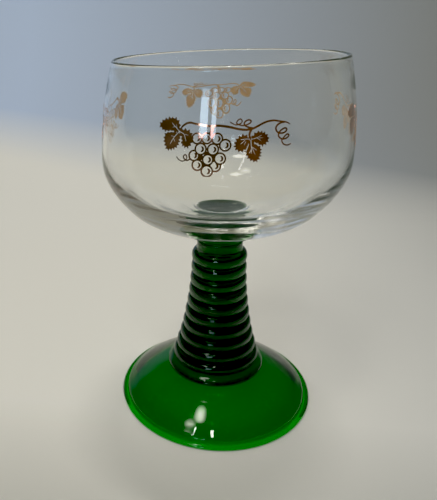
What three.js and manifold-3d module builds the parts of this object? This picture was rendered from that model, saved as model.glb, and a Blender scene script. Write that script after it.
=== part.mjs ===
// Roemer wine goblet: a clear bowl on a solid green ribbed beehive stem with a
// green domed foot, and four gold vine sprigs fired onto the outside of the bowl.
// Millimetres, +Z up, origin on the axis in the plane the foot stands on.
// Azimuth 0 is the -Y side of the bowl, where the front sprig sits.
import * as THREE from 'three';
import { mergeVertices } from 'three/addons/utils/BufferGeometryUtils.js';
import Module from 'manifold-3d';

const wasm = await Module();
wasm.setup();

// ---------------------------------------------------------------- dimensions
const TOTAL_HEIGHT = 142;      // rim above the table
const RIM_RADIUS = 40.26;      // outside of the bowl where the fire-polished lip begins
const BOWL_BASE_Z = 78.33;     // plane where the bowl is fused to the stem
const STEM_TOP_RADIUS = 10.25; // the stem flares out to this under the bowl
const NECK_RADIUS = 9.3;       // plain neck under the flare
const NECK_GROOVE_Z = 75.05;   // fine groove round the neck
const NECK_GROOVE_DEPTH = 0.3;
const RIB_HALF_PITCH = 2.59;   // the ribs sit 5.18 mm apart
const RIB_DEPTH = 1.45;        // crest to groove
const FOOT_RADIUS = 42.78;
const FOOT_SEAT_Z = 19.35;     // plane where the stem is fused to the foot
const FOOT_SEAT_RADIUS = 18;
const BEAD_RADIUS = 1.25;      // rounded edge of the foot
const FILM_THICKNESS = 0.12;   // gilding, thickened enough to be a solid
const FILM_CLEARANCE = 0.14;   // it stands just off the glass
const SPRIGS = {               // degrees round the bowl, height above the front sprig
  front: [0, 0], right: [85, 0], rear: [-170.7, 1.8], left: [-87.5, 0],
};

const BOWL_SEGMENTS = 48;
const STEM_SEGMENTS = 40;
const FOOT_SEGMENTS = 48;

// Outside of the bowl from the stem joint up to the lip, [radius, height].
const BOWL_OUTSIDE = [
  [STEM_TOP_RADIUS, BOWL_BASE_Z], [10.5, 79.03], [12.0, 79.62], [16.85, 81.02], [20.19, 81.99],
  [24.39, 83.24], [29.39, 85.54], [34.47, 88.71], [38.38, 92.57], [41.4, 96.55], [43.82, 100.91],
  [45.15, 105.2], [45.42, 109.19], [45.16, 114.18], [44.66, 119.16], [43.91, 125.11],
  [42.62, 131.99], [40.91, 138.77],
];
const LIP = [
  [RIM_RADIUS, TOTAL_HEIGHT - 0.7], [40.08, TOTAL_HEIGHT - 0.22], [39.66, TOTAL_HEIGHT],
  [39.22, TOTAL_HEIGHT - 0.2], [39.05, TOTAL_HEIGHT - 0.7],
];
// Inside of the bowl from the lip down to the middle of the floor: about
// 1.3 mm of wall at the top, thickening to 7 mm of glass over the stem.
const BOWL_INSIDE = [
  [39.5, 139.3], [41.3, 132.1], [42.6, 125.2], [43.35, 119.3], [43.83, 114.2], [44.02, 109.3],
  [43.51, 105.34], [41.79, 101.31], [38.86, 97.38], [35.19, 94.18], [31.0, 91.36], [26.0, 89.55],
  [20.8, 88.11], [15.8, 87.09], [10.5, 86.33], [5.0, 85.83], [0, 85.59],
];

// Crest of each rib of the stem from the neck down, [height, radius].
const RIBS = [
  [68.07, 11.3], [62.885, 11.44], [57.7, 11.78], [52.515, 12.23], [47.33, 12.88],
  [42.145, 13.71], [36.96, 14.62], [31.775, 15.78], [26.59, 17.21], [21.6, 18.65],
];

// Rounded flange of the foot, from the stem seat down to the groove under it.
const FLANGE = [[18.7, 19.1], [19.6, 18.5], [20.4, 17.8], [20.9, 17.1], [21.02, 16.6], [20.8, 15.95]];
// Top of the dome from the flange out to the hollow inside the edge bead.
const FOOT_TOP = [
  [24.5, 14.17], [29.0, 11.68], [33.5, 8.85], [37.0, 6.4], [38.9, 4.9], [39.9, 4.0], [40.4, 2.9],
  [40.65, 1.55], [40.95, 1.5],
];
// Underside of the dome from the standing ring up to its middle.
const FOOT_UNDERSIDE = [
  [39.9, 0], [38.7, 0.85], [37.2, 2.1], [33.8, 4.95], [30.0, 7.75], [25.0, 10.8], [20.0, 13.0],
  [15.0, 14.4], [10.0, 15.3], [5.0, 15.8], [0, 15.95],
];

// ---------------------------------------------------------------- turned parts
// A closed profile of [radius, height] pairs turned round the vertical axis.
function turned(profile, segments) {
  const points = profile.map(([r, z]) => new THREE.Vector2(r, z));
  const geometry = new THREE.LatheGeometry(points, segments);
  geometry.rotateX(Math.PI / 2);
  return geometry;
}

function bowlProfile() {
  return [[0, BOWL_BASE_Z], ...BOWL_OUTSIDE, ...LIP, ...BOWL_INSIDE];
}

// Solid glass from the seat on the foot up to the flare under the bowl.
function stemProfile() {
  const up = [[0, FOOT_SEAT_Z], [FOOT_SEAT_RADIUS, FOOT_SEAT_Z]];
  const ribs = [...RIBS].reverse();
  ribs.forEach(([z, r], i) => {
    const above = ribs[i + 1];
    if (i > 0) up.push([r - 0.32 * RIB_DEPTH, z - 0.72 * RIB_HALF_PITCH]);
    up.push([r, z]);
    up.push([r - 0.32 * RIB_DEPTH, z + 0.72 * RIB_HALF_PITCH]);
    if (above) up.push([(r + above[1]) / 2 - RIB_DEPTH, (z + above[0]) / 2]);
  });
  const [topRibZ] = RIBS[0];
  up.push([NECK_RADIUS + 0.25, topRibZ + RIB_HALF_PITCH]);
  up.push([NECK_RADIUS, topRibZ + RIB_HALF_PITCH + 0.9]);
  up.push([NECK_RADIUS, NECK_GROOVE_Z - 0.5]);
  up.push([NECK_RADIUS - NECK_GROOVE_DEPTH, NECK_GROOVE_Z]);
  up.push([NECK_RADIUS, NECK_GROOVE_Z + 0.5]);
  up.push([NECK_RADIUS, BOWL_BASE_Z - 1.4]);
  up.push([NECK_RADIUS + 0.3, BOWL_BASE_Z - 0.5]);
  up.push([STEM_TOP_RADIUS, BOWL_BASE_Z]);
  up.push([0, BOWL_BASE_Z]);
  return up;
}

function footProfile() {
  const bead = [];
  const centreR = FOOT_RADIUS - BEAD_RADIUS;
  for (const degrees of [80, 45, 10, -25, -58]) {
    const a = THREE.MathUtils.degToRad(degrees);
    bead.push([centreR + BEAD_RADIUS * Math.cos(a), BEAD_RADIUS + BEAD_RADIUS * Math.sin(a)]);
  }
  const section = [[0, FOOT_SEAT_Z], [FOOT_SEAT_RADIUS, FOOT_SEAT_Z], ...FLANGE, ...FOOT_TOP,
    ...bead, [centreR, 0], ...FOOT_UNDERSIDE];
  return section.reverse();
}

// ---------------------------------------------------------------- gilding
// The sprig is drawn flat, x along the bowl's girth and y the height above the
// table, and is then wrapped round the outside of the bowl.
const GIRTH_RADIUS = 44.5;     // radius at which x is measured

function solid(geometry) {
  const g = geometry.clone();
  g.deleteAttribute('normal');
  g.deleteAttribute('uv');
  const m = mergeVertices(g, 1e-5);
  return new wasm.Manifold(new wasm.Mesh({
    numProp: 3,
    vertProperties: new Float32Array(m.attributes.position.array),
    triVerts: new Uint32Array(m.index.array),
  }));
}

function plate(points) {
  const shape = new THREE.Shape(points.map(([x, y]) => new THREE.Vector2(x, y)));
  return solid(new THREE.ExtrudeGeometry(shape, { depth: FILM_THICKNESS, bevelEnabled: false, steps: 1 }));
}

// A band along a line of points, widths given at its two ends.
function band(points, w0, w1) {
  const left = [];
  const right = [];
  points.forEach(([x, y], i) => {
    const a = points[Math.max(i - 1, 0)];
    const b = points[Math.min(i + 1, points.length - 1)];
    const d = new THREE.Vector2(b[0] - a[0], b[1] - a[1]).normalize();
    const w = 0.5 * THREE.MathUtils.lerp(w0, w1, i / (points.length - 1));
    left.push([x - d.y * w, y + d.x * w]);
    right.push([x + d.y * w, y - d.x * w]);
  });
  return plate([...right, ...left.reverse()]);
}

// A vine leaf: three lobes about its stalk point, each a kite with a notched edge.
function leaf([cx, cy], lobes) {
  const outline = [];
  for (const [angle, length, half] of lobes) {
    for (const [da, k] of [[-half, 0.3], [-0.78 * half, 0.78], [-0.3 * half, 0.86], [0, 1], [0.3 * half, 0.86], [0.78 * half, 0.78]]) {
      const a = THREE.MathUtils.degToRad(angle + da);
      outline.push([cx + length * k * Math.cos(a), cy + length * k * Math.sin(a)]);
    }
  }
  return plate(outline);
}

function disc([cx, cy], r, sides) {
  const points = [];
  for (let i = 0; i < sides; i += 1) {
    const a = ((i + 0.5) / sides) * 2 * Math.PI;
    points.push([cx + r * Math.cos(a), cy + r * Math.sin(a)]);
  }
  return plate(points);
}

const GRAPES = [
  [-7.9, 123.6], [-4.9, 123.4], [-1.9, 123.3], [0.7, 121.6], [-6.7, 120.5], [-3.1, 120.5],
  [-8.8, 118.5], [-4.7, 117.7], [-1.0, 118.2], [-7.3, 115.9], [-2.2, 115.7], [-4.7, 114.5],
];
const BRANCH = [
  [-13.3, 124.9], [-11.6, 126.9], [-9.6, 127.4], [-7.0, 126.9], [-3.6, 126.6], [1.2, 126.4],
  [5.2, 125.6], [7.8, 125.7], [9.9, 126.8], [12.4, 127.6], [15.4, 127.6], [19.2, 126.3],
];

function flatSprig() {
  const pieces = [
    band(BRANCH, 0.9, 0.8),
    leaf([-13.6, 124.6], [[-40, 5.6, 46], [118, 5.2, 50], [205, 5.6, 44]]),
    leaf([7.5, 122.8], [[-154, 5.4, 44], [-66, 6.3, 42], [18, 5.7, 46]]),
    band([[7.7, 125.7], [7.2, 124.2], [7.5, 122.6]], 0.8, 0.9),
    band([[-3.5, 126.6], [-3.7, 125.2], [-3.9, 123.4]], 0.8, 0.9),
    band([[15.9, 127.3], [15.1, 125.4], [16.4, 123.9], [17.9, 122.6], [17.2, 121.1], [19.3, 120.4]], 0.9, 0.6),
    band([[7.2, 125.7], [6.9, 127.6], [5.2, 127.0], [3.6, 128.1], [1.7, 127.8]], 0.8, 0.5),
    band([[-8.6, 117.9], [-11.0, 116.9], [-13.6, 117.8]], 0.9, 0.5),
  ];
  for (const centre of GRAPES) pieces.push(disc(centre, 1.95, 9));
  return pieces.reduce((a, b) => a.add(b));
}

// Cut into small cells, so that no facet spans enough of the bowl to cut into
// it when the sprig is wrapped. The walls of the cuts are dropped again.
function celled(body) {
  const triangles = [];
  const cellX = 4.35;
  const cellY = 4.9;
  const on = (p, axis, value) => p.every((v) => Math.abs(v[axis] - value) < 2e-5);
  for (let x0 = -21.3; x0 < 21; x0 += cellX) {
    for (let y0 = 111.17; y0 < 130; y0 += cellY) {
      const box = new THREE.BoxGeometry(cellX, cellY, 1);
      box.translate(x0 + cellX / 2, y0 + cellY / 2, 0);
      const part = body.intersect(solid(box));
      if (part.isEmpty()) continue;
      const mesh = part.getMesh();
      const v = (i) => Array.from(mesh.vertProperties.slice(i * mesh.numProp, i * mesh.numProp + 3));
      for (let t = 0; t < mesh.triVerts.length; t += 3) {
        const p = [v(mesh.triVerts[t]), v(mesh.triVerts[t + 1]), v(mesh.triVerts[t + 2])];
        if (on(p, 0, x0) || on(p, 0, x0 + cellX) || on(p, 1, y0) || on(p, 1, y0 + cellY)) continue;
        triangles.push(...p.flat());
      }
    }
  }
  const geometry = new THREE.BufferGeometry();
  geometry.setAttribute('position', new THREE.Float32BufferAttribute(triangles, 3));
  return mergeVertices(geometry, 1e-4);
}

// Radius of the bowl's outside at a height.
const bowlCurve = BOWL_OUTSIDE.filter(([, z]) => z > 100);
function bowlRadius(z) {
  for (let i = 0; i + 1 < bowlCurve.length; i += 1) {
    const [r0, z0] = bowlCurve[i];
    const [r1, z1] = bowlCurve[i + 1];
    if (z <= z1) return THREE.MathUtils.lerp(r0, r1, (z - z0) / (z1 - z0));
  }
  return bowlCurve[bowlCurve.length - 1][0];
}

function wrapped(flat, azimuth, lift) {
  const geometry = flat.clone();
  const p = geometry.attributes.position;
  for (let i = 0; i < p.count; i += 1) {
    const a = p.getX(i) / GIRTH_RADIUS + THREE.MathUtils.degToRad(azimuth);
    const z = p.getY(i) + lift;
    const r = bowlRadius(z) + FILM_CLEARANCE + p.getZ(i);
    p.setXYZ(i, r * Math.sin(a), -r * Math.cos(a), z);
  }
  geometry.computeVertexNormals();
  return geometry;
}

// ---------------------------------------------------------------- assembly
const clearGlass = new THREE.MeshStandardMaterial({
  color: 0xeef2f0, roughness: 0.03, metalness: 0, transparent: true, opacity: 0.3,
});
const stemGlass = new THREE.MeshStandardMaterial({
  color: 0x0b4a12, roughness: 0.05, metalness: 0, transparent: true, opacity: 0.85,
});
const footGlass = new THREE.MeshStandardMaterial({
  color: 0x0c6a14, roughness: 0.05, metalness: 0, transparent: true, opacity: 0.8,
});
const gilding = new THREE.MeshStandardMaterial({ color: 0x9a6a3a, roughness: 0.3, metalness: 1 });

const group = new THREE.Group();

const glass = new THREE.Group();
const bowl = new THREE.Mesh(turned(bowlProfile(), BOWL_SEGMENTS), clearGlass);
bowl.name = 'bowl';
const stem = new THREE.Mesh(turned(stemProfile(), STEM_SEGMENTS), stemGlass);
stem.name = 'stem';
const foot = new THREE.Mesh(turned(footProfile(), FOOT_SEGMENTS), footGlass);
foot.name = 'foot';
glass.add(bowl, stem, foot);
group.add(glass);

const decoration = new THREE.Group();
const flat = celled(flatSprig());
for (const [side, [azimuth, lift]] of Object.entries(SPRIGS)) {
  const sprig = new THREE.Mesh(wrapped(flat, azimuth, lift), gilding.clone());
  sprig.name = `gold_sprig_${side}`;
  decoration.add(sprig);
}
group.add(decoration);

export default group;
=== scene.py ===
import math

import bmesh
import bpy
import numpy as np
from mathutils import Matrix, Vector


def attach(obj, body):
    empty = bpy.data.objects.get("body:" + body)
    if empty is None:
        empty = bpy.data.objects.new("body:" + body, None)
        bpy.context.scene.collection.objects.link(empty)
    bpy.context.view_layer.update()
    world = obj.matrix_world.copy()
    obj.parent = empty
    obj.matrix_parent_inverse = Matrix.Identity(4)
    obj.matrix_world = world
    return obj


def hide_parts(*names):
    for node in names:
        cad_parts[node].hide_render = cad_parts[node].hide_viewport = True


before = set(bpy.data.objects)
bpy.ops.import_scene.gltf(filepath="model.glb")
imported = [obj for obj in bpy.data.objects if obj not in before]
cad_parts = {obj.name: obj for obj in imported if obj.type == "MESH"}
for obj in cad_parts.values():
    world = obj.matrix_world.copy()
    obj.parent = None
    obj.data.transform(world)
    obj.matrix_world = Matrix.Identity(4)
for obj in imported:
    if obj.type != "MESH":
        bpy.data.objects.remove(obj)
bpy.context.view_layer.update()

MM = 0.001

# ------------------------------------------------------------------ camera
# Fitted to the rim, the bowl's sides, the ribs and the foot, in a 437 x 500 frame.
FRAME_W, FRAME_H = 437, 500
FOCAL_PX = 517.34
CENTRE_PX = (140.577, 296.622)
CAM_POS = Vector((0.0, -197.815, 154.377)) * MM
YAW, PITCH, ROLL = -0.167808, 0.493822, 0.037837


def make_camera():
    forward = Vector((math.sin(YAW) * math.cos(PITCH), math.cos(YAW) * math.cos(PITCH), -math.sin(PITCH)))
    right = Vector((math.cos(YAW), -math.sin(YAW), 0.0))
    down = forward.cross(right)
    r2 = right * math.cos(ROLL) + down * math.sin(ROLL)
    d2 = right * -math.sin(ROLL) + down * math.cos(ROLL)
    m = Matrix.Identity(4)
    for i in range(3):
        m[i][0], m[i][1], m[i][2], m[i][3] = r2[i], -d2[i], -forward[i], CAM_POS[i]
    data = bpy.data.cameras.new("camera")
    data.sensor_width = 36.0
    data.sensor_fit = "AUTO"
    data.lens = FOCAL_PX / FRAME_H * 36.0
    data.shift_x = (FRAME_W / 2 - CENTRE_PX[0]) / FRAME_H
    data.shift_y = (CENTRE_PX[1] - FRAME_H / 2) / FRAME_H
    data.clip_start = 0.005
    data.clip_end = 50.0
    cam = bpy.data.objects.new("camera", data)
    cam.matrix_world = m
    bpy.context.scene.collection.objects.link(cam)
    bpy.context.scene.camera = cam
    return cam


make_camera()


# ------------------------------------------------------------------ node helpers
def material(name):
    mat = bpy.data.materials.new(name)
    mat.use_nodes = True
    nt = mat.node_tree
    nt.nodes.clear()
    out = nt.nodes.new("ShaderNodeOutputMaterial")
    return mat, nt, out


def noise(nt, coords, scale, detail=2.0, roughness=0.5):
    n = nt.nodes.new("ShaderNodeTexNoise")
    n.inputs["Scale"].default_value = scale
    n.inputs["Detail"].default_value = detail
    n.inputs["Roughness"].default_value = roughness
    nt.links.new(coords, n.inputs["Vector"])
    return n


def map_range(nt, source, a, b, c, d):
    n = nt.nodes.new("ShaderNodeMapRange")
    n.inputs["From Min"].default_value = a
    n.inputs["From Max"].default_value = b
    n.inputs["To Min"].default_value = c
    n.inputs["To Max"].default_value = d
    nt.links.new(source, n.inputs["Value"])
    return n.outputs["Result"]


def glass(name, ior, tint, absorb, density, wave, smudge):
    """Clear or coloured glass: faintly uneven, with the least trace of handling on it."""
    mat, nt, out = material(name)
    coords = nt.nodes.new("ShaderNodeTexCoord").outputs["Object"]
    bsdf = nt.nodes.new("ShaderNodeBsdfPrincipled")
    bsdf.inputs["Base Color"].default_value = (*tint, 1)
    bsdf.inputs["Transmission Weight"].default_value = 1.0
    bsdf.inputs["IOR"].default_value = ior
    handled = noise(nt, coords, 55.0, 3.0, 0.6)
    nt.links.new(map_range(nt, handled.outputs["Fac"], 0.45, 0.75, 0.0, smudge), bsdf.inputs["Roughness"])
    waves = noise(nt, coords, 38.0, 1.0, 0.4)
    bump = nt.nodes.new("ShaderNodeBump")
    bump.inputs["Strength"].default_value = 1.0
    bump.inputs["Distance"].default_value = wave
    nt.links.new(waves.outputs["Fac"], bump.inputs["Height"])
    nt.links.new(bump.outputs["Normal"], bsdf.inputs["Normal"])
    nt.links.new(bsdf.outputs["BSDF"], out.inputs["Surface"])
    if not density:
        return mat
    volume = nt.nodes.new("ShaderNodeVolumeAbsorption")
    volume.inputs["Color"].default_value = (*absorb, 1.0)
    volume.inputs["Density"].default_value = density
    nt.links.new(volume.outputs["Volume"], out.inputs["Volume"])
    return mat


clear_glass = glass("clear_glass", 1.52, (0.985, 0.99, 0.975), None, 0, 0.00003, 0.03)
# where the bowl's underside is fused to the stem, light passes without bending
fused_glass = glass("fused_glass", 1.0, (1.0, 1.0, 1.0), None, 0, 0.0, 0.0)
stem_glass = glass("stem_glass", 1.52, (1, 1, 1), (0.0, 0.925, 0.0), 2000.0, 0.00002, 0.03)
foot_glass = glass("foot_glass", 1.52, (1, 1, 1), (0.0, 0.813, 0.0), 2000.0, 0.00002, 0.16)


# ------------------------------------------------------------------ turned glass
def spline(points, per=12, closed_ends=True):
    """A smooth curve through [radius, height] points, by natural cubic splines over chord length."""
    p = np.array(points, float)
    t = np.concatenate([[0], np.cumsum(np.hypot(*np.diff(p, axis=0).T))])
    n = len(p)
    h = np.diff(t)
    a = np.zeros((n, n))
    b = np.zeros((n, 2))
    a[0, 0] = a[-1, -1] = 1
    for i in range(1, n - 1):
        a[i, i - 1], a[i, i], a[i, i + 1] = h[i - 1], 2 * (h[i - 1] + h[i]), h[i]
        b[i] = 6 * ((p[i + 1] - p[i]) / h[i] - (p[i] - p[i - 1]) / h[i - 1])
    m = np.linalg.solve(a, b)
    out = []
    for i in range(n - 1):
        steps = max(2, int(math.ceil(h[i] / per)))
        for k in range(steps):
            s = k / steps * h[i]
            u, v = h[i] - s, s
            out.append(
                (m[i] * u**3 + m[i + 1] * v**3) / (6 * h[i])
                + (p[i] / h[i] - m[i] * h[i] / 6) * u
                + (p[i + 1] / h[i] - m[i + 1] * h[i] / 6) * v
            )
    out.append(p[-1])
    return [tuple(x) for x in out]


def turned(name, profile, segments, mat):
    """Turns a closed profile of (radius, height) in millimetres round the z axis."""
    clean = [profile[0]]
    for q in profile[1:]:
        if math.dist(q, clean[-1]) > 1e-4:
            clean.append(q)
    ring = math.dist(clean[0], clean[-1]) < 1e-4 and clean[0][0] > 1e-6
    if ring:
        clean.pop()
    bm = bmesh.new()
    cos = [math.cos(2 * math.pi * i / segments) for i in range(segments)]
    sin = [math.sin(2 * math.pi * i / segments) for i in range(segments)]
    rows = []
    for r, z in clean:
        if r < 1e-6:
            rows.append([bm.verts.new((0, 0, z * MM))])
        else:
            rows.append([bm.verts.new((r * MM * cos[i], r * MM * sin[i], z * MM)) for i in range(segments)])
    pairs = list(zip(rows, rows[1:] + rows[:1])) if ring else list(zip(rows, rows[1:]))
    for a, b in pairs:
        for i in range(segments):
            j = (i + 1) % segments
            if len(a) == 1 and len(b) == 1:
                break
            if len(a) == 1:
                bm.faces.new((a[0], b[j], b[i]))
            elif len(b) == 1:
                bm.faces.new((a[i], a[j], b[0]))
            else:
                bm.faces.new((a[i], a[j], b[j], b[i]))
    bmesh.ops.recalc_face_normals(bm, faces=bm.faces)
    if bm.calc_volume(signed=True) < 0:
        bmesh.ops.reverse_faces(bm, faces=bm.faces)
    for f in bm.faces:
        f.smooth = True
    mesh = bpy.data.meshes.new(name)
    bm.to_mesh(mesh)
    bm.free()
    mesh.materials.append(mat)
    obj = bpy.data.objects.new(name, mesh)
    bpy.context.scene.collection.objects.link(obj)
    return obj


def sharp_rings(obj, degrees=32):
    obj.data.set_sharp_from_angle(angle=math.radians(degrees))


JOINT_Z = 78.33     # bowl on stem
DOME = 0.54         # how far the stem's top rises into the bowl
SEAT_Z = 19.35      # stem on foot
SEAT_R = 18.0
NECK_R = 9.3
DISC_R = 10.25      # the flared top of the stem, under the bowl
GAP = 0.01

BOWL_OUT = [
    (DISC_R, JOINT_Z), (10.29, 78.68), (10.5, 79.03), (11.05, 79.21), (12.0, 79.62), (13.96, 80.17), (16.85, 81.02),
    (20.19, 81.99), (24.39, 83.24), (29.39, 85.54),
    (34.47, 88.71), (38.38, 92.57), (41.40, 96.55), (43.82, 100.91), (45.15, 105.2), (45.42, 109.19), (45.16, 114.18),
    (44.66, 119.16), (43.91, 125.11), (42.62, 131.99), (40.91, 138.77), (40.26, 141.3),
]
LIP = [(40.08, 141.78), (39.66, 142.0), (39.22, 141.8), (39.05, 141.3)]
BOWL_IN = [
    (39.5, 139.3), (41.3, 132.1), (42.6, 125.2), (43.35, 119.3), (43.83, 114.2), (44.02, 109.3), (43.51, 105.34),
    (41.79, 101.31), (38.86, 97.38), (35.19, 94.18), (31.0, 91.36), (26.0, 89.55), (20.8, 88.11), (15.8, 87.09),
    (10.5, 86.33), (5.0, 85.83), (0.0, 85.59),
]


def joint_curve(lift):
    """The low dome where the bowl meets the stem, from the axis outwards."""
    return [(DISC_R * k / 12 - (0.1 if k == 12 else 0.0), JOINT_Z + lift + DOME * (1 - (k / 12) ** 2)) for k in range(13)]


def bowl_profile():
    return joint_curve(GAP / 2) + spline(BOWL_OUT + LIP + BOWL_IN, per=0.7)


RIBS = [  # height and radius of each rib's crest, from the neck down
    (68.07, 11.30), (62.885, 11.44), (57.70, 11.78), (52.515, 12.23), (47.33, 12.88), (42.145, 13.71),
    (36.96, 14.62), (31.775, 15.78), (26.59, 17.21), (21.6, 18.65),
]
RIB_DEPTH = 1.45


def rib_curve(lower, upper, steps=14):
    """From one crest up to the next: two rounds that meet in a groove."""
    (z0, r0), (z1, r1) = lower, upper
    half = (z1 - z0) / 2
    groove_r = (r0 + r1) / 2 - RIB_DEPTH
    points = []
    for k in range(steps):
        u = k / steps
        points.append((groove_r + (r0 - groove_r) * math.sqrt(max(0.0, 1 - (0.97 * u) ** 2)), z0 + u * half))
    for k in range(steps):
        u = 1 - k / steps
        points.append((groove_r + (r1 - groove_r) * math.sqrt(max(0.0, 1 - (0.97 * u) ** 2)), z1 - u * half))
    return points


def stem_profile():
    """Solid glass, turned from the seat on the foot up to the low dome under the bowl."""
    ribs = RIBS[::-1]
    z0, r0 = ribs[0]
    up = [(0.0, SEAT_Z + GAP / 2), (SEAT_R - 0.05, SEAT_Z + GAP / 2)]
    for k in range(10):
        u = 1 - k / 10
        up.append((SEAT_R + 0.05 + (r0 - SEAT_R - 0.05) * math.sqrt(max(0.0, 1 - u ** 2)), z0 - u * (z0 - SEAT_Z - 0.08)))
    for lower, upper in zip(ribs, ribs[1:]):
        up += rib_curve(lower, upper)
    z, r = ribs[-1]
    for k in range(14):
        u = k / 14
        up.append((NECK_R + (r - NECK_R) * math.sqrt(max(0.0, 1 - (0.99 * u) ** 2)), z + u * 2.6))
    up += spline([(NECK_R + 0.12, z + 2.75), (NECK_R, z + 3.5), (NECK_R, 74.4), (NECK_R - 0.05, 74.75), (NECK_R - 0.3, 75.05),
                  (NECK_R - 0.05, 75.35), (NECK_R, 75.7), (NECK_R, 76.9), (NECK_R + 0.25, 77.8), (DISC_R - 0.12, JOINT_Z - 0.1)], per=0.25)
    return up + joint_curve(-GAP / 2)[::-1]


EDGE_R = 1.25       # the bead round the foot's edge
FOOT_RADIUS = 42.78
FLANGE = [(18.05, 19.28), (18.7, 19.1), (19.6, 18.5), (20.4, 17.8), (20.9, 17.1), (21.02, 16.6), (20.95, 16.2)]
FOOT_TOP = [
    (20.8, 15.95), (24.5, 14.17), (29.0, 11.68), (33.5, 8.85), (37.0, 6.4), (38.9, 4.9), (39.9, 4.0), (40.35, 3.1), (40.5, 2.2),
    (40.62, 1.55), (40.85, 1.4), (41.05, 2.2),
]
FOOT_UNDER = [
    (39.9, 0.0), (39.3, 0.25), (38.7, 0.85), (37.2, 2.1), (33.8, 4.95), (30.0, 7.75), (25.0, 10.8), (20.0, 13.0), (15.0, 14.4),
    (10.0, 15.3), (5.0, 15.8), (0.0, 15.95),
]


def foot_profile():
    centre = FOOT_RADIUS - EDGE_R
    edge = []
    for k in range(21):
        a = math.radians(96 - k * (96 + 84) / 20)
        edge.append((centre + EDGE_R * math.cos(a), EDGE_R + EDGE_R * math.sin(a)))
    return ([(0.0, SEAT_Z - GAP / 2), (SEAT_R - 0.05, SEAT_Z - GAP / 2)] + spline(FLANGE, per=0.4) + spline(FOOT_TOP, per=0.5)[:-1]
            + edge + [(41.1, 0.0)] + spline(FOOT_UNDER, per=0.5))


bowl = turned("bowl_glass", bowl_profile(), 256, clear_glass)
bowl.data.materials.append(fused_glass)
for face in bowl.data.polygons:
    corners = [bowl.data.vertices[v].co / MM for v in face.vertices]
    if all(c.z < JOINT_Z + DOME + 0.2 and math.hypot(c.x, c.y) < DISC_R - 0.05 for c in corners):
        face.material_index = 1
stem = turned("stem_glass", stem_profile(), 192, stem_glass)
foot = turned("foot_glass", foot_profile(), 256, foot_glass)
for piece in (bowl, stem, foot):
    sharp_rings(piece)
    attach(piece, "root")
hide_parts("bowl")
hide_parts("stem")
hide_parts("foot")


# ------------------------------------------------------------------ gilding
# One sprig, drawn flat in millimetres: along the bowl's wall (u, to the right) and up (z).
SPRIG_WRAP_R = 44.5
SPRIGS = {"front": (0.0, 0.0), "right": (85.0, 0.0), "rear": (-170.7, 1.8), "left": (-87.5, 0.0)}   # azimuth, lift
STEP = 0.115

GRAPES = [  # front to back: centre and radius
    (-4.65, 113.95, 1.83), (0.35, 121.35, 1.78), (-3.1, 120.15, 1.76), (-4.5, 117.25, 1.70), (-1.0, 117.6, 1.78),
    (-7.5, 115.6, 1.72), (-6.7, 120.2, 1.80), (-2.3, 115.45, 1.76), (-8.6, 118.3, 1.66), (-7.9, 123.1, 1.66),
    (-5.0, 123.2, 1.66), (-2.0, 123.1, 1.72),
]
GAPS = [(-6.8, 117.9, 0.95), (-5.9, 115.8, 0.75), (-2.95, 118.2, 0.65), (-8.0, 117.4, 0.6), (-5.1, 119.0, 0.6)]
BRANCH = [
    (-13.0, 125.6), (-12.3, 126.4), (-11.2, 127.1), (-10.0, 127.35), (-8.7, 127.1), (-7.0, 126.85), (-4.0, 126.5),
    (-2.0, 126.65), (0.0, 126.5), (2.0, 126.15), (4.0, 125.7), (6.0, 125.45), (7.8, 125.65), (9.0, 126.1), (11.0, 127.0),
    (12.5, 127.45), (14.2, 127.6), (16.0, 127.3), (17.8, 127.0), (18.6, 126.7), (19.3, 126.3),
]
BRANCH_W = [0.30, 0.42, 0.46, 0.44, 0.42, 0.42, 0.46, 0.50, 0.50, 0.48, 0.46, 0.46, 0.46, 0.44, 0.42, 0.40, 0.38, 0.34, 0.30, 0.26, 0.18]
STROKES = [  # width at the start, width at the end, points
    (0.50, 0.70, [(-3.6, 126.5), (-3.5, 125.9), (-3.7, 125.2), (-3.9, 124.4)]),
    (0.42, 0.34, [(7.7, 125.6), (7.4, 125.0), (7.15, 124.3), (7.2, 123.6), (7.5, 123.2)]),
    (0.18, 0.30, [
        (1.5, 127.6), (2.2, 127.2), (3.1, 126.8), (4.0, 126.95), (4.8, 127.4), (4.85, 128.0), (4.35, 128.35), (3.7, 128.0),
        (3.4, 127.5), (3.5, 127.1), (4.2, 126.8), (5.2, 126.6), (6.3, 126.8), (7.2, 127.2), (7.5, 127.7), (7.0, 128.05),
        (6.2, 127.9), (5.6, 127.4), (5.6, 126.9), (6.1, 126.4), (7.0, 126.05), (7.8, 125.9)]),
    (0.32, 0.24, [
        (17.6, 127.0), (16.6, 126.9), (15.6, 126.5), (15.0, 125.9), (14.9, 125.2), (15.3, 124.5), (16.0, 124.1), (17.0, 124.05),
        (17.9, 124.35), (18.3, 124.9), (17.9, 125.35), (17.1, 125.2), (16.3, 124.7), (15.8, 124.0), (15.8, 123.3), (16.3, 122.7),
        (17.1, 122.4), (18.1, 122.5), (18.9, 123.0), (19.0, 123.4), (18.5, 123.65), (17.9, 123.3), (17.2, 122.6), (16.85, 122.0),
        (17.2, 121.2), (17.9, 120.75), (18.8, 120.6), (19.6, 120.85)]),
    (0.18, 0.26, [
        (-13.9, 117.6), (-13.2, 116.9), (-12.3, 116.5), (-11.4, 116.7), (-10.8, 117.2), (-10.75, 117.9), (-11.2, 118.4),
        (-11.7, 118.1), (-11.7, 117.5), (-11.2, 117.0), (-10.6, 116.8), (-10.0, 117.1), (-9.6, 117.3)]),
]
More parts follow.
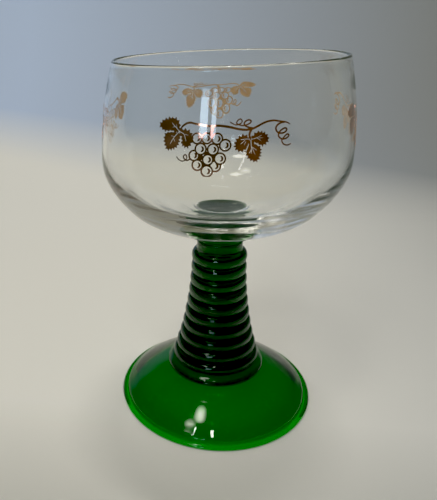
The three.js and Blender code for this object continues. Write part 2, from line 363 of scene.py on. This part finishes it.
LOBES = [
    [(-13.3, 125.4), (-13.3, 126.6), (-13.9, 127.7), (-14.8, 128.5), (-15.6, 128.2), (-16.5, 128.5), (-17.3, 128.1),
     (-18.6, 127.8), (-19.2, 127.2), (-20.2, 126.55), (-19.6, 125.5), (-18.9, 125.4), (-18.1, 124.6), (-17.4, 125.0),
     (-16.7, 124.8), (-15.9, 125.1), (-14.2, 124.4), (-13.2, 124.7)],
    [(-13.7, 124.5), (-15.5, 124.6), (-17.8, 124.2), (-18.2, 123.1), (-18.0, 122.6), (-18.3, 122.1), (-17.9, 121.4),
     (-17.9, 120.9), (-17.4, 120.3), (-17.4, 119.5), (-16.9, 119.4), (-16.5, 119.8), (-15.9, 119.5), (-15.3, 120.1),
     (-14.8, 119.8), (-14.4, 120.5), (-13.6, 120.8), (-13.8, 121.4), (-13.2, 121.8), (-13.5, 122.5), (-13.2, 123.1), (-12.9, 124.4)],
    [(-12.3, 122.9), (-12.6, 121.3), (-12.3, 120.9), (-11.9, 121.2), (-11.6, 120.4), (-11.2, 120.5), (-10.9, 120.7),
     (-10.6, 120.35), (-10.2, 120.7), (-10.1, 121.3), (-9.5, 121.5), (-9.5, 122.3), (-9.2, 122.6), (-9.3, 123.5), (-9.6, 124.2),
     (-9.9, 124.7), (-10.4, 125.2), (-11.5, 125.4), (-12.6, 125.3), (-13.4, 125.4), (-13.3, 124.2), (-12.7, 123.6)],
    [(7.3, 122.9), (7.9, 123.0), (8.1, 123.8), (8.8, 124.3), (9.3, 124.8), (10.0, 124.6), (10.6, 124.9), (11.0, 124.3), (11.7, 124.5),
     (12.0, 123.8), (12.7, 123.4), (12.5, 122.9), (12.9, 122.3), (12.2, 122.0), (12.1, 121.4), (11.4, 121.3), (11.1, 120.8),
     (10.5, 121.2), (9.9, 121.5), (9.3, 121.9), (8.6, 122.0), (7.6, 122.3)],
    [(7.4, 122.6), (8.4, 121.8), (9.3, 121.2), (10.3, 120.7), (10.7, 120.2), (10.3, 119.8), (10.7, 119.3), (10.3, 118.9),
     (10.7, 118.3), (10.2, 118.1), (10.3, 117.3), (9.8, 117.2), (9.7, 116.7), (9.3, 116.4), (9.0, 116.9), (8.4, 116.8),
     (8.1, 117.2), (7.5, 117.1), (7.3, 117.7), (6.8, 118.0), (6.8, 118.6), (6.3, 119.0), (6.4, 119.4), (6.1, 119.7), (6.7, 120.4), (7.0, 121.2)],
    [(7.2, 122.2), (6.6, 121.2), (6.4, 120.4), (5.9, 120.0), (5.4, 119.9), (5.2, 119.6), (4.6, 119.5), (4.3, 119.9), (3.6, 119.9),
     (3.5, 120.5), (2.9, 120.8), (3.3, 121.3), (3.1, 121.9), (3.5, 122.3), (3.4, 122.8), (3.9, 123.1), (4.1, 123.6),
     (4.8, 123.8), (5.4, 124.15), (6.2, 123.9), (7.0, 123.3), (7.5, 122.9)],
]
VEINS = [  # width and points, left bare in the leaves
    (0.20, [(-13.4, 124.9), (-14.8, 126.1), (-15.9, 127.1)]), (0.15, [(-14.8, 126.1), (-15.7, 125.8)]),
    (0.15, [(-14.2, 125.7), (-14.5, 126.8)]),
    (0.20, [(-13.3, 124.8), (-12.0, 124.2), (-11.5, 123.2), (-11.2, 122.2)]), (0.15, [(-11.6, 124.1), (-10.6, 123.9)]),
    (0.22, [(-13.4, 124.9), (-13.9, 124.3), (-14.9, 123.2), (-15.6, 122.2), (-16.1, 121.2)]), (0.15, [(-14.9, 123.3), (-16.0, 123.5)]),
    (0.15, [(-15.1, 122.7), (-14.6, 121.8)]),
    (0.34, [(-12.9, 123.3), (-12.8, 122.3), (-12.95, 121.0)]), (0.30, [(-15.6, 124.75), (-16.7, 124.6), (-18.1, 124.35)]),
    (0.20, [(7.3, 122.9), (6.0, 122.95), (4.7, 122.8)]), (0.15, [(5.9, 122.6), (4.7, 121.6)]), (0.15, [(6.2, 122.2), (5.7, 121.2)]),
    (0.20, [(7.8, 122.8), (9.3, 123.2), (10.6, 123.8)]), (0.15, [(9.3, 123.2), (10.6, 122.3)]), (0.15, [(9.8, 123.1), (11.2, 123.1)]),
    (0.22, [(7.6, 122.6), (7.8, 121.0), (7.9, 119.0)]), (0.15, [(7.9, 120.8), (9.0, 118.6)]), (0.15, [(8.2, 120.6), (9.5, 119.7)]),
    (0.15, [(7.8, 120.0), (7.2, 118.9)]),
    (0.32, [(6.3, 119.7), (6.7, 120.6), (7.0, 121.6)]), (0.30, [(8.7, 121.85), (9.6, 121.3), (10.9, 120.8)]),
]


def smooth_line(points, per=5):
    """A curve through the points that bends evenly at each."""
    p = np.array(points, float)
    p = np.vstack([2 * p[0] - p[1], p, 2 * p[-1] - p[-2]])
    out = []
    for a, b, c, d in zip(p, p[1:], p[2:], p[3:]):
        for k in range(per):
            t = k / per
            out.append(0.5 * (2 * b + (c - a) * t + (2 * a - 5 * b + 4 * c - d) * t**2 + (3 * b - a - 3 * c + d) * t**3))
    out.append(p[-2])
    return np.array(out)


def stroke(U, Z, line, widths):
    """Distance to a line with a width that changes along it, less than zero inside."""
    best = np.full(U.shape, 1e3)
    for (a, b, wa, wb) in zip(line, line[1:], widths, widths[1:]):
        d = b - a
        t = np.clip(((U - a[0]) * d[0] + (Z - a[1]) * d[1]) / max(1e-9, d @ d), 0, 1)
        best = np.minimum(best, np.hypot(U - a[0] - t * d[0], Z - a[1] - t * d[1]) - (wa + (wb - wa) * t) / 2)
    return best


def polygon(U, Z, points):
    p = np.array(points, float)
    dist = np.full(U.shape, 1e3)
    inside = np.zeros(U.shape, bool)
    for a, b in zip(p, np.roll(p, -1, 0)):
        d = b - a
        t = np.clip(((U - a[0]) * d[0] + (Z - a[1]) * d[1]) / max(1e-9, d @ d), 0, 1)
        dist = np.minimum(dist, np.hypot(U - a[0] - t * d[0], Z - a[1] - t * d[1]))
        crosses = (a[1] > Z) != (b[1] > Z)
        with np.errstate(divide="ignore", invalid="ignore"):
            at = a[0] + (Z - a[1]) / (b[1] - a[1]) * d[0]
        inside ^= crosses & (U < at)
    return np.where(inside, -dist, dist)


def serrate(points, pitch=0.56, tooth=0.50):
    """A leaf's outline, smoothed, with small pointed teeth all round it."""
    p = np.array(points, float)
    loop = np.vstack([p, p[:1]])
    run = np.concatenate([[0], np.cumsum(np.hypot(*np.diff(loop, axis=0).T))])
    count = max(8, int(run[-1] / pitch) // 2 * 2)
    at = np.arange(count * 5) / (count * 5) * run[-1]
    x, z = np.interp(at, run, loop[:, 0]), np.interp(at, run, loop[:, 1])
    weights = np.exp(-0.5 * (np.arange(-9, 10) / 3.2) ** 2)
    x = sum(w * np.roll(x, k - 9) for k, w in enumerate(weights)) / weights.sum()
    z = sum(w * np.roll(z, k - 9) for k, w in enumerate(weights)) / weights.sum()
    x, z = x[::5], z[::5]
    area = np.sum(loop[:-1, 0] * loop[1:, 1] - loop[1:, 0] * loop[:-1, 1])
    tx, tz = np.roll(x, -1) - np.roll(x, 1), np.roll(z, -1) - np.roll(z, 1)
    size = np.hypot(tx, tz) * (1 if area > 0 else -1)
    off = np.where(np.arange(count) % 2 == 0, tooth, -tooth * 0.35)
    return np.stack([x + tz / size * off, z - tx / size * off], 1)


def sprig_field():
    us = np.arange(-21.0, 21.0 + STEP, STEP)
    zs = np.arange(112.2, 129.4 + STEP, STEP)
    U, Z = np.meshgrid(us, zs)
    f = np.full(U.shape, 1e3)
    for u, z, r in GAPS:
        f = np.minimum(f, np.hypot(U - u, Z - z) - r)
    for u, z, r in GRAPES[::-1]:
        d = np.hypot(U - u, Z - z)
        f = np.maximum(f, (r - 0.05) - d)
        f = np.minimum(f, np.abs(d - (r - 0.22)) - 0.24)
        inner = r * 0.40
        a = np.arctan2(Z - z, U - u)
        centre, spread = math.radians(-4), math.radians(84)
        off = np.abs((a - centre + math.pi) % (2 * math.pi) - math.pi)
        half = 0.30 * np.clip(1 - (off / spread) ** 2, 0, 1) ** 0.5
        arc = np.where(off < spread, np.abs(d - inner) - half, 0.5)
        f = np.minimum(f, arc)
    for lobe in LOBES:
        f = np.minimum(f, polygon(U, Z, serrate(lobe)))
    for w, line in VEINS:
        c = smooth_line(line, 4)
        f = np.maximum(f, -stroke(U, Z, c, np.linspace(w, w * 0.6, len(c))))
    c = smooth_line(BRANCH, 5)
    w = np.interp(np.linspace(0, len(BRANCH_W) - 1, len(c)), np.arange(len(BRANCH_W)), BRANCH_W)
    f = np.minimum(f, stroke(U, Z, c, w * 1.35))
    for w0, w1, line in STROKES:
        c = smooth_line(line, 5)
        f = np.minimum(f, stroke(U, Z, c, np.linspace(w0, w1, len(c)) * 1.6))
    f[0, :] = f[-1, :] = 1.0
    f[:, 0] = f[:, -1] = 1.0
    return us, zs, f


def contour_cells(us, zs, f):
    """Flat cells that fill the drawing, with points shared between neighbours, and its outline's edges."""
    f = np.where(np.abs(f) < 1e-4, 1e-4, f)
    pts, index, faces = [], {}, []

    def corner(j, i):
        key = (j, i)
        if key not in index:
            index[key] = len(pts)
            pts.append((us[i], zs[j]))
        return index[key]

    def crossing(a, b):
        key = (a, b) if a < b else (b, a)
        if key not in index:
            (j0, i0), (j1, i1) = key
            t = f[j0, i0] / (f[j0, i0] - f[j1, i1])
            t = min(0.93, max(0.07, t))
            index[key] = len(pts)
            pts.append((us[i0] + t * (us[i1] - us[i0]), zs[j0] + t * (zs[j1] - zs[j0])))
        return index[key]

    neg = f < 0
    any_in = neg[:-1, :-1] | neg[:-1, 1:] | neg[1:, :-1] | neg[1:, 1:]
    for j, i in zip(*np.where(any_in)):
        ring = [(j, i), (j, i + 1), (j + 1, i + 1), (j + 1, i)]
        inside = [neg[c] for c in ring]
        if all(inside):
            faces.append([corner(*c) for c in ring])
            continue
        if inside in ([True, False, True, False], [False, True, False, True]) and f[j:j + 2, i:i + 2].mean() >= 0:
            for k in range(4):
                if inside[k]:
                    a, b, c = ring[k - 1], ring[k], ring[(k + 1) % 4]
                    faces.append([corner(*b), crossing(b, c), crossing(a, b)])
            continue
        poly = []
        for k in range(4):
            a, b = ring[k], ring[(k + 1) % 4]
            if inside[k]:
                poly.append(corner(*a))
            if inside[k] != inside[(k + 1) % 4]:
                poly.append(crossing(a, b))
        if len(poly) >= 3:
            faces.append(poly)
    seen = {}
    for face in faces:
        for a, b in zip(face, face[1:] + face[:1]):
            if (b, a) in seen:
                seen.pop((b, a))
            else:
                seen[(a, b)] = True
    return np.array(pts), faces, list(seen)


def sprigs(outer_mat, inner_mat):
    us, zs, f = sprig_field()
    pts, faces, rim = contour_cells(us, zs, f)
    curve = np.array(spline(BOWL_OUT, per=0.5))
    rows = curve[:, 1] > 100
    made = {}
    for name, (azimuth, rise) in SPRIGS.items():
        a = pts[:, 0] / SPRIG_WRAP_R + math.radians(azimuth)
        height = pts[:, 1] + rise
        r = np.interp(height, curve[rows, 1], curve[rows, 0])
        verts = []
        for lift in (0.055, 0.015):
            verts.append(np.stack([(r + lift) * np.sin(a), -(r + lift) * np.cos(a), height], 1) * MM)
        n = len(pts)
        polys = [list(q) for q in faces] + [[i + n for i in q[::-1]] for q in faces] + [[b, a_, a_ + n, b + n] for a_, b in rim]
        mesh = bpy.data.meshes.new("sprig_" + name)
        mesh.from_pydata(np.concatenate(verts).tolist(), [], polys)
        slots = np.zeros(len(polys), np.int32)
        slots[len(faces):2 * len(faces)] = 1
        mesh.polygons.foreach_set("material_index", slots)
        mesh.polygons.foreach_set("use_smooth", np.concatenate([np.ones(2 * len(faces), bool), np.zeros(len(rim), bool)]))
        mesh.materials.append(outer_mat)
        mesh.materials.append(inner_mat)
        mesh.update()
        mesh.set_sharp_from_angle(angle=math.radians(40))
        obj = bpy.data.objects.new("gilt_sprig_" + name, mesh)
        bpy.context.scene.collection.objects.link(obj)
        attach(obj, "root")
        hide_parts("gold_sprig_" + name)
        made[name] = obj
    return made


def gilding_material(name, dark, light, rough_lo, rough_hi, metallic, scale, coat, painted_glow):
    mat, nt, out = material(name)
    coords = nt.nodes.new("ShaderNodeTexCoord").outputs["Object"]
    bsdf = nt.nodes.new("ShaderNodeBsdfPrincipled")
    bsdf.inputs["Metallic"].default_value = metallic
    blotch = noise(nt, coords, scale, 3.0, 0.55)
    ramp = nt.nodes.new("ShaderNodeValToRGB")
    ramp.color_ramp.elements[0].position = 0.38
    ramp.color_ramp.elements[0].color = (*dark, 1)
    ramp.color_ramp.elements[1].position = 0.62
    ramp.color_ramp.elements[1].color = (*light, 1)
    nt.links.new(blotch.outputs["Fac"], ramp.inputs["Fac"])
    nt.links.new(ramp.outputs["Color"], bsdf.inputs["Base Color"])
    nt.links.new(map_range(nt, blotch.outputs["Fac"], 0.3, 0.7, rough_lo, rough_hi), bsdf.inputs["Roughness"])
    bsdf.inputs["Coat Weight"].default_value = coat
    bsdf.inputs["Coat Roughness"].default_value = 0.03
    bsdf.inputs["Coat IOR"].default_value = 1.75
    # painted light: the film glows in its own colour, as though light came through it from behind, with no lamp to give
    # it
    nt.links.new(ramp.outputs["Color"], bsdf.inputs["Emission Color"])
    bsdf.inputs["Emission Strength"].default_value = painted_glow
    nt.links.new(bsdf.outputs["BSDF"], out.inputs["Surface"])
    return mat


gilt_outer = gilding_material("gilding_bright", (0.36, 0.11, 0.07), (0.74, 0.34, 0.20), 0.04, 0.10, 0.80, 120.0, 1.0, 0.0)
# the back face's 0.19 is a painted glow; the bright face has none
gilt_inner = gilding_material("gilding_back", (0.82, 0.49, 0.27), (0.92, 0.61, 0.36), 0.50, 0.60, 0.10, 300.0, 0.0, 0.19)
sprigs(gilt_outer, gilt_inner)


# ------------------------------------------------------------------ stage
SWEEP_PAINTED_GLOW = 0.285        # painted light: the sweep glows of itself, standing in for the soft light that reaches it from all round


def sweep():
    """A plain pale floor that curves up into a plain backdrop behind the goblet."""
    bm = bmesh.new()
    profile = [(-1.6, 0.0), (-0.8, 0.0), (0.0, 0.0), (0.22, 0.0)]
    for k in range(1, 17):
        a = math.radians(k * 90 / 16)
        profile.append((0.22 + 0.25 * math.sin(a), 0.25 * (1 - math.cos(a))))
    profile += [(0.47, 0.5), (0.47, 1.2)]
    xs = [-2.2, -1.2, -0.5, 0.0, 0.5, 1.2, 2.2]
    grid = [[bm.verts.new((x, y, z)) for x in xs] for y, z in profile]
    for a, b in zip(grid, grid[1:]):
        for i in range(len(xs) - 1):
            f = bm.faces.new((a[i], a[i + 1], b[i + 1], b[i]))
            f.smooth = True
    mesh = bpy.data.meshes.new("sweep")
    bm.to_mesh(mesh)
    bm.free()
    obj = bpy.data.objects.new("sweep", mesh)
    bpy.context.scene.collection.objects.link(obj)
    mat, nt, out = material("sweep_paper")
    coords = nt.nodes.new("ShaderNodeTexCoord").outputs["Object"]
    xyz = nt.nodes.new("ShaderNodeSeparateXYZ")
    nt.links.new(coords, xyz.inputs["Vector"])
    # pale paper below, greyer up the backdrop and to the right, where less light falls
    lean = nt.nodes.new("ShaderNodeMath")
    lean.operation = "MULTIPLY_ADD"
    lean.inputs[1].default_value = 0.12
    nt.links.new(xyz.outputs["X"], lean.inputs[0])
    nt.links.new(xyz.outputs["Z"], lean.inputs[2])
    rise = map_range(nt, lean.outputs["Value"], 0.0, 0.04, 0.0, 1.0)
    side = map_range(nt, xyz.outputs["X"], -0.226, 0.213, 0.0, 1.0)
    shade = nt.nodes.new("ShaderNodeMix")
    shade.data_type = "RGBA"
    shade.inputs[6].default_value = (0.51, 0.60, 0.76, 1)
    shade.inputs[7].default_value = (0.31, 0.31, 0.315, 1)
    nt.links.new(side, shade.inputs[0])
    paper = nt.nodes.new("ShaderNodeMix")
    paper.data_type = "RGBA"
    paper.inputs[6].default_value = (0.83, 0.815, 0.745, 1)
    nt.links.new(shade.outputs[2], paper.inputs[7])
    nt.links.new(rise, paper.inputs[0])
    # warmer high up, out of the camera's view
    above = map_range(nt, xyz.outputs["Z"], 0.21, 0.30, 0.0, 1.0)
    upper = nt.nodes.new("ShaderNodeMix")
    upper.data_type = "RGBA"
    upper.inputs[7].default_value = (0.33, 0.31, 0.25, 1)
    nt.links.new(paper.outputs[2], upper.inputs[6])
    nt.links.new(above, upper.inputs[0])
    # darker towards the camera: painted shade on the floor in front of the goblet
    painted_front_shade = map_range(nt, xyz.outputs["Y"], -0.16, -0.02, 0.35, 1.0)
    lit = nt.nodes.new("ShaderNodeMix")
    lit.data_type = "RGBA"
    lit.blend_type = "MULTIPLY"
    lit.inputs[0].default_value = 1.0
    nt.links.new(upper.outputs[2], lit.inputs[6])
    nt.links.new(painted_front_shade, lit.inputs[7])
    bsdf = nt.nodes.new("ShaderNodeBsdfPrincipled")
    bsdf.inputs["Roughness"].default_value = 0.9
    bsdf.inputs["Specular IOR Level"].default_value = 0.2
    nt.links.new(lit.outputs[2], bsdf.inputs["Base Color"])
    # the sweep's glow is painted light, given by no lamp
    nt.links.new(lit.outputs[2], bsdf.inputs["Emission Color"])
    bsdf.inputs["Emission Strength"].default_value = SWEEP_PAINTED_GLOW
    nt.links.new(bsdf.outputs["BSDF"], out.inputs["Surface"])
    mesh.materials.append(mat)
    return obj


sweep()


def lamp(name, position, target, size, power, colour=(1, 1, 1), spread=None):
    data = bpy.data.lights.new(name, "AREA")
    data.shape = "RECTANGLE"
    data.size, data.size_y = size
    data.energy = power
    data.color = colour
    if spread:
        data.spread = spread
    obj = bpy.data.objects.new(name, data)
    obj.location = position
    direction = Vector(target) - Vector(position)
    obj.rotation_euler = direction.to_track_quat("-Z", "Y").to_euler()
    bpy.context.scene.collection.objects.link(obj)
    return obj


def fade_out(data):
    """Makes a lamp bright in the middle and dark at its edges."""
    data.use_nodes = True
    nt = data.node_tree
    place = nt.nodes.new("ShaderNodeNewGeometry").outputs["Parametric"]
    centred = nt.nodes.new("ShaderNodeVectorMath")
    centred.operation = "SUBTRACT"
    centred.inputs[1].default_value = (0.5, 0.5, 0.0)
    nt.links.new(place, centred.inputs[0])
    away = nt.nodes.new("ShaderNodeVectorMath")
    away.operation = "LENGTH"
    nt.links.new(centred.outputs["Vector"], away.inputs[0])
    fade = nt.nodes.new("ShaderNodeMapRange")
    fade.interpolation_type = "SMOOTHSTEP"
    fade.inputs["From Min"].default_value = 0.5
    fade.inputs["From Max"].default_value = 0.0
    nt.links.new(away.outputs["Value"], fade.inputs["Value"])
    nt.links.new(fade.outputs["Result"], nt.nodes["Emission"].inputs["Strength"])


def direction(az, elev, distance, base=(0, 0, 0.08)):
    a, e = math.radians(az), math.radians(elev)
    return (base[0] + distance * math.sin(a) * math.cos(e), base[1] - distance * math.cos(a) * math.cos(e), base[2] + distance * math.sin(e))


# azimuth 0 is on the camera's side, positive to the right
lamp("overhead", direction(170, 80, 1.0), (0, 0, 0.03), (0.20, 0.03), 1.8, (1.0, 0.97, 0.92))
lamp("window_left", direction(-18, 13, 1.5), (0, 0, 0.12), (0.17, 0.42), 1.25, (0.66, 0.84, 1.0))
lamp("window_right", direction(-9.5, 13, 1.5), (0, 0, 0.12), (0.10, 0.42), 0.65, (0.66, 0.84, 1.0))
for name, az, elev, base, size, power in (
    ("soft_left", -34, 71, (-0.005, -0.031, 0.010), 0.23, 2.7),
    ("soft_far_left", -42, 61, (-0.009, -0.034, 0.007), 0.24, 1.7),
):
    fade_out(lamp(name, direction(az, elev, 1.0, base), base, (size, size), power, (1.0, 0.98, 0.86)).data)
lamp("strip_left", direction(-29, 54, 1.0, (-0.0075, -0.038, 0.005)), (-0.0075, -0.038, 0.005), (0.02, 0.26), 0.34, (1.0, 0.98, 0.92))
lamp("strip_middle", direction(0.5, 59, 1.0, (0, -0.038, 0.005)), (0, -0.038, 0.005), (0.045, 0.10), 0.30, (1.0, 0.98, 0.92))

world = bpy.data.worlds.new("world")
bpy.context.scene.world = world
world.use_nodes = True
# the room: cool to the left, warmer to the right
room = world.node_tree.nodes.new("ShaderNodeTexCoord").outputs["Generated"]
heading = world.node_tree.nodes.new("ShaderNodeSeparateXYZ")
world.node_tree.links.new(room, heading.inputs["Vector"])
tone = world.node_tree.nodes.new("ShaderNodeMix")
tone.data_type = "RGBA"
tone.inputs[6].default_value = (0.55, 0.53, 0.57, 1)
tone.inputs[7].default_value = (0.70, 0.43, 0.38, 1)
world.node_tree.links.new(map_range(world.node_tree, heading.outputs["X"], -0.15, 0.35, 0.0, 1.0), tone.inputs[0])
world.node_tree.links.new(tone.outputs[2], world.node_tree.nodes["Background"].inputs["Color"])
world.node_tree.nodes["Background"].inputs["Strength"].default_value = 0.13

scene = bpy.context.scene
scene.view_settings.view_transform = "Standard"
# the photograph's deep shadows: its darkest tones run together, most of all in red and blue
scene.view_settings.use_curve_mapping = True
scene.view_settings.curve_mapping.black_level = (0.022, 0.008, 0.020)
# thick glass sends light round inside itself many times before it leaves
scene.cycles.max_bounces = 40
scene.cycles.glossy_bounces = 40
scene.cycles.transmission_bounces = 40
scene.cycles.transparent_max_bounces = 16
